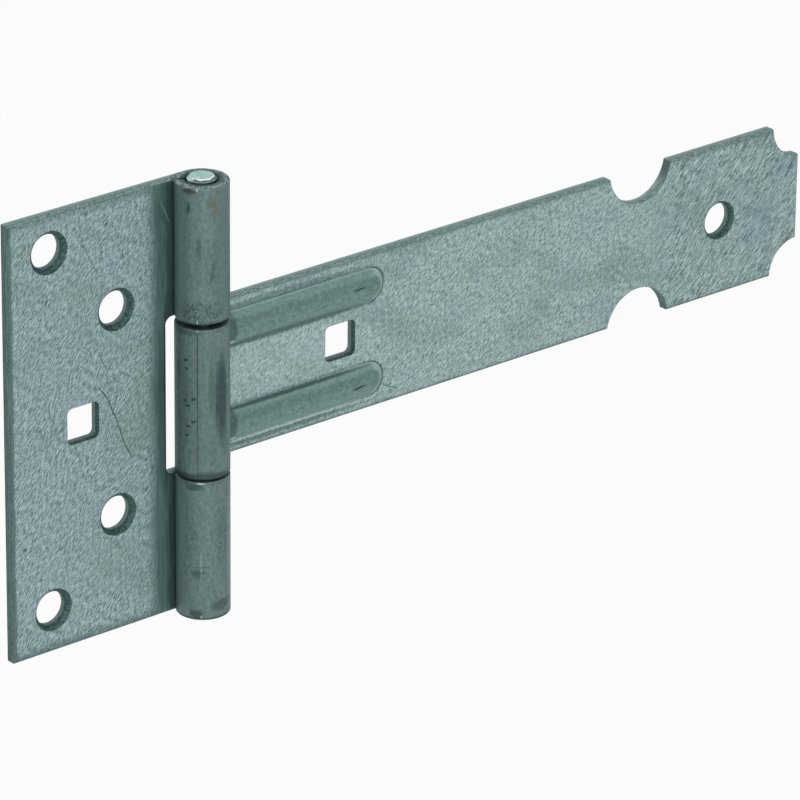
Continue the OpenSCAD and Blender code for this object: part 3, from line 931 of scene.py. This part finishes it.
# Among these lines, the dark band down the knuckle's side towards the plate is painted shade, and the pale tick at
# its top end is a painted highlight.
STRAP_ROLL_LINES = [
    ((-0.0150, 0, 0), (0.0028, 1, 0.0480), 0, "#22332F", 0.5),
    ((-0.0055, 0, 0.0), (0.00020, 1, 0.0480), 0, "#2D4543", 0.75),
    ((-0.0009, 0, 0.0012), (0.00020, 1, 0.0110), 0, "#2D4543", 0.6),
    ((-0.0055, 0, 0.0185), (0.00025, 1, 0.0006), 0, "#C5D6D4", 0.6),
]
# Among these marks, the dark line just under the knuckle's top end is painted shade below the gap.
STRAP_ROLL_MARKS = [
    ((0.0008, 0, 0.0010), (0.0024, 1, 0.0150), 0, "#32464A", 0.85),
    ((-0.0022, 0, 0.0030), (0.0011, 1, 0.0075), 0, "#495F5D", 0.5),
    ((-0.0046, 0, -0.0192), (0.0140, 1, 0.0022), 0, "#324542", 0.8),
    ((-0.0110, 0, 0.0080), (0.0010, 1, 0.0030), 0, "#485C68", 0.4),
    ((-0.0095, 0, 0.0178), (0.0060, 1, 0.0011), 0, "#3A4E4C", 0.5),
    ((-0.0040, 0, 0.0), (0.0055, 1, 0.0300), 0, "#4E6462", 0.2),
    ((0.0020, 0, -0.0100), (0.0016, 1, 0.0060), 0, "#465C62", 0.35),
]
# Small dark dots that the weather has left
STRAP_ROLL_MARKS += [
    ((x, 0, z), (0.0008, 1, 0.0005), 10, "#22332F", 0.75)
    for x, z in (
        (-0.0085, 0.0109), (-0.0081, 0.0088), (-0.0086, 0.0006), (-0.0079, -0.0006), (-0.0065, 0.0012),
        (-0.0080, -0.0057), (-0.0064, -0.0046), (-0.0084, -0.0082),
    )
]
knuckle_middle = (KNUCKLE_HIGH + KNUCKLE_LOW) / 2
knuckle_half = (KNUCKLE_HIGH - KNUCKLE_LOW) / 2
strap_roll_zinc = rolled_face(
    "galvanised_strap_knuckle", knuckle_middle, knuckle_half, -1,
    STRAP_WRINKLES, STRAP_ROLL_LINES, STRAP_ROLL_MARKS
)
finished_piece(
    strap, "strap", "strap_leaf", "strap",
    [strap_face(), strap_roll_zinc, edge_zinc, hole_zinc, pressed_face()]
)

# Pin: a length of bright zinc-plated round bar, cut off and chamfered at both ends, driven up through the
# three knuckles so that its top end stands just above them.
PIN_FLAT = 0.0028


# Bright zinc plating on steel bar: pale and shiny, with fine wear. In front, where the end is chamfered, a
# painted white highlight runs along the rim, with a line of painted shade under it and a duller band of painted
# shade below that.
def plated_bar():
    material, tree, surface = start_metal("zinc_plated_bar", metallic=0.85, roughness=0.3)
    place = surface["Object"]
    wear = strokes(tree, place, 0.0015, 0.0006, 0, 0.35, 0.65)
    look = add_node(
        tree, "ShaderNodeMix", {0: wear, 6: colour("#B0CECB"), 7: colour("#CCE4E1")}, 2, data_type="RGBA"
    )
    rough_place = ragged(tree, place, 0.0009, 0.0003)
    along = add_node(tree, "ShaderNodeSeparateXYZ", {0: rough_place}, None)
    forwards = add_node(tree, "ShaderNodeMath", {0: pin_axis.y, 1: along["Y"]}, operation="SUBTRACT")
    rightwards = add_node(tree, "ShaderNodeMath", {0: along["X"], 1: pin_axis.x}, operation="SUBTRACT")
    across = add_node(tree, "ShaderNodeCombineXYZ", {"X": rightwards, "Y": forwards})
    away = add_node(tree, "ShaderNodeVectorMath", {0: across}, "Value", operation="LENGTH")
    # Painted light on the front of the chamfered end: a white highlight along the rim, a line of shade under it
    # and a duller band of shade below that.
    in_front = zone(tree, forwards, -0.0005, 0.0015)
    rim = zone(tree, away, PIN_FLAT - 0.0003, PIN_FLAT - 0.0001, in_front)
    look = stain(tree, look, rim, "#FFFFFF", 0.9)
    under_rim_shade = zone(tree, away, PIN_FLAT + 0.0001, PIN_FLAT + 0.0003, in_front)
    look = stain(tree, look, under_rim_shade, "#1B2826", 0.95)
    below = zone(tree, away, PIN_FLAT + 0.00034, PIN_FLAT + 0.00048, in_front)
    look = stain(tree, look, below, "#86A39F", 0.75)
    return finish_metal(material, look, wear, depth=0.00002)


frame["nodes"]["hinge_pin"].data.materials.clear()
frame["nodes"]["hinge_pin"].data.materials.append(plated_bar())

# Stage: a pale floor well below the hinge, a white surround and soft lamps, as in a catalogue photograph.
FLOOR_DROP = 0.35
FLOOR_HALF = 4
FLOOR_GLOW = 0.95
SKY_ON_OBJECT = 0.30
KEY_PLACE = Vector((-0.6, -1.4, 0.2))
KEY_SIZE = 0.7
KEY_POWER = 8.5
FILL_PLACE = Vector((1.2, -1.0, -0.2))
FILL_SIZE = 1.0
FILL_POWER = 2


def seen_directly(tree):
    """1 for the rays that show the background: the camera's, a reflection's and those through glass."""
    path = add_node(tree, "ShaderNodeLightPath", output=None)
    either = add_node(
        tree, "ShaderNodeMath", {0: path["Is Camera Ray"], 1: path["Is Glossy Ray"]}, operation="MAXIMUM"
    )
    return add_node(
        tree, "ShaderNodeMath", {0: either, 1: path["Is Transmission Ray"]}, operation="MAXIMUM"
    )


# Matt white board: it takes the hinge's soft shadow, and glows almost white where it is seen
def pale_floor():
    material = bpy.data.materials.new("pale_floor")
    material.use_nodes = True
    tree = material.node_tree
    tree.nodes.clear()
    matt = add_node(tree, "ShaderNodeBsdfDiffuse", {"Color": (0.9, 0.9, 0.9, 1)})
    glow = add_node(tree, "ShaderNodeEmission", {"Color": (1, 1, 1, 1), "Strength": 1})
    share = add_node(tree, "ShaderNodeMath", {0: seen_directly(tree), 1: FLOOR_GLOW}, operation="MULTIPLY")
    both = add_node(tree, "ShaderNodeMixShader", {0: share, 1: matt, 2: glow})
    surface = tree.nodes.new("ShaderNodeOutputMaterial").inputs["Surface"]
    tree.links.new(both, surface)
    return material


def soft_lamp(name, place, size, power):
    """A square soft box that faces the pin."""
    data = bpy.data.lights.new(name, "AREA")
    data.size = size
    data.energy = power
    lamp = bpy.data.objects.new(name, data)
    lamp.location = pin_axis + place
    lamp.rotation_euler = place.to_track_quat("Z", "Y").to_euler()
    bpy.context.scene.collection.objects.link(lamp)


floor_mesh = bpy.data.meshes.new("floor")
floor_bm = bmesh.new()
bmesh.ops.create_grid(floor_bm, x_segments=1, y_segments=1, size=FLOOR_HALF)
bmesh.ops.translate(floor_bm, verts=floor_bm.verts, vec=(0, 0, plate_low.z - FLOOR_DROP))
floor_bm.to_mesh(floor_mesh)
floor_bm.free()
floor_mesh.materials.append(pale_floor())
floor = bpy.data.objects.new("floor", floor_mesh)
bpy.context.scene.collection.objects.link(floor)

world = bpy.data.worlds.new("studio")
bpy.context.scene.world = world
world.use_nodes = True
sky = world.node_tree
strength = add_node(
    sky, "ShaderNodeMapRange", {"Value": seen_directly(sky), "To Min": SKY_ON_OBJECT, "To Max": 1}
)
sky.links.new(strength, sky.nodes["Background"].inputs["Strength"])
sky.nodes["Background"].inputs["Color"].default_value = (1, 1, 1, 1)
soft_lamp("key", KEY_PLACE, KEY_SIZE, KEY_POWER)
soft_lamp("fill", FILL_PLACE, FILL_SIZE, FILL_POWER)

bpy.context.scene.view_settings.view_transform = "Standard"
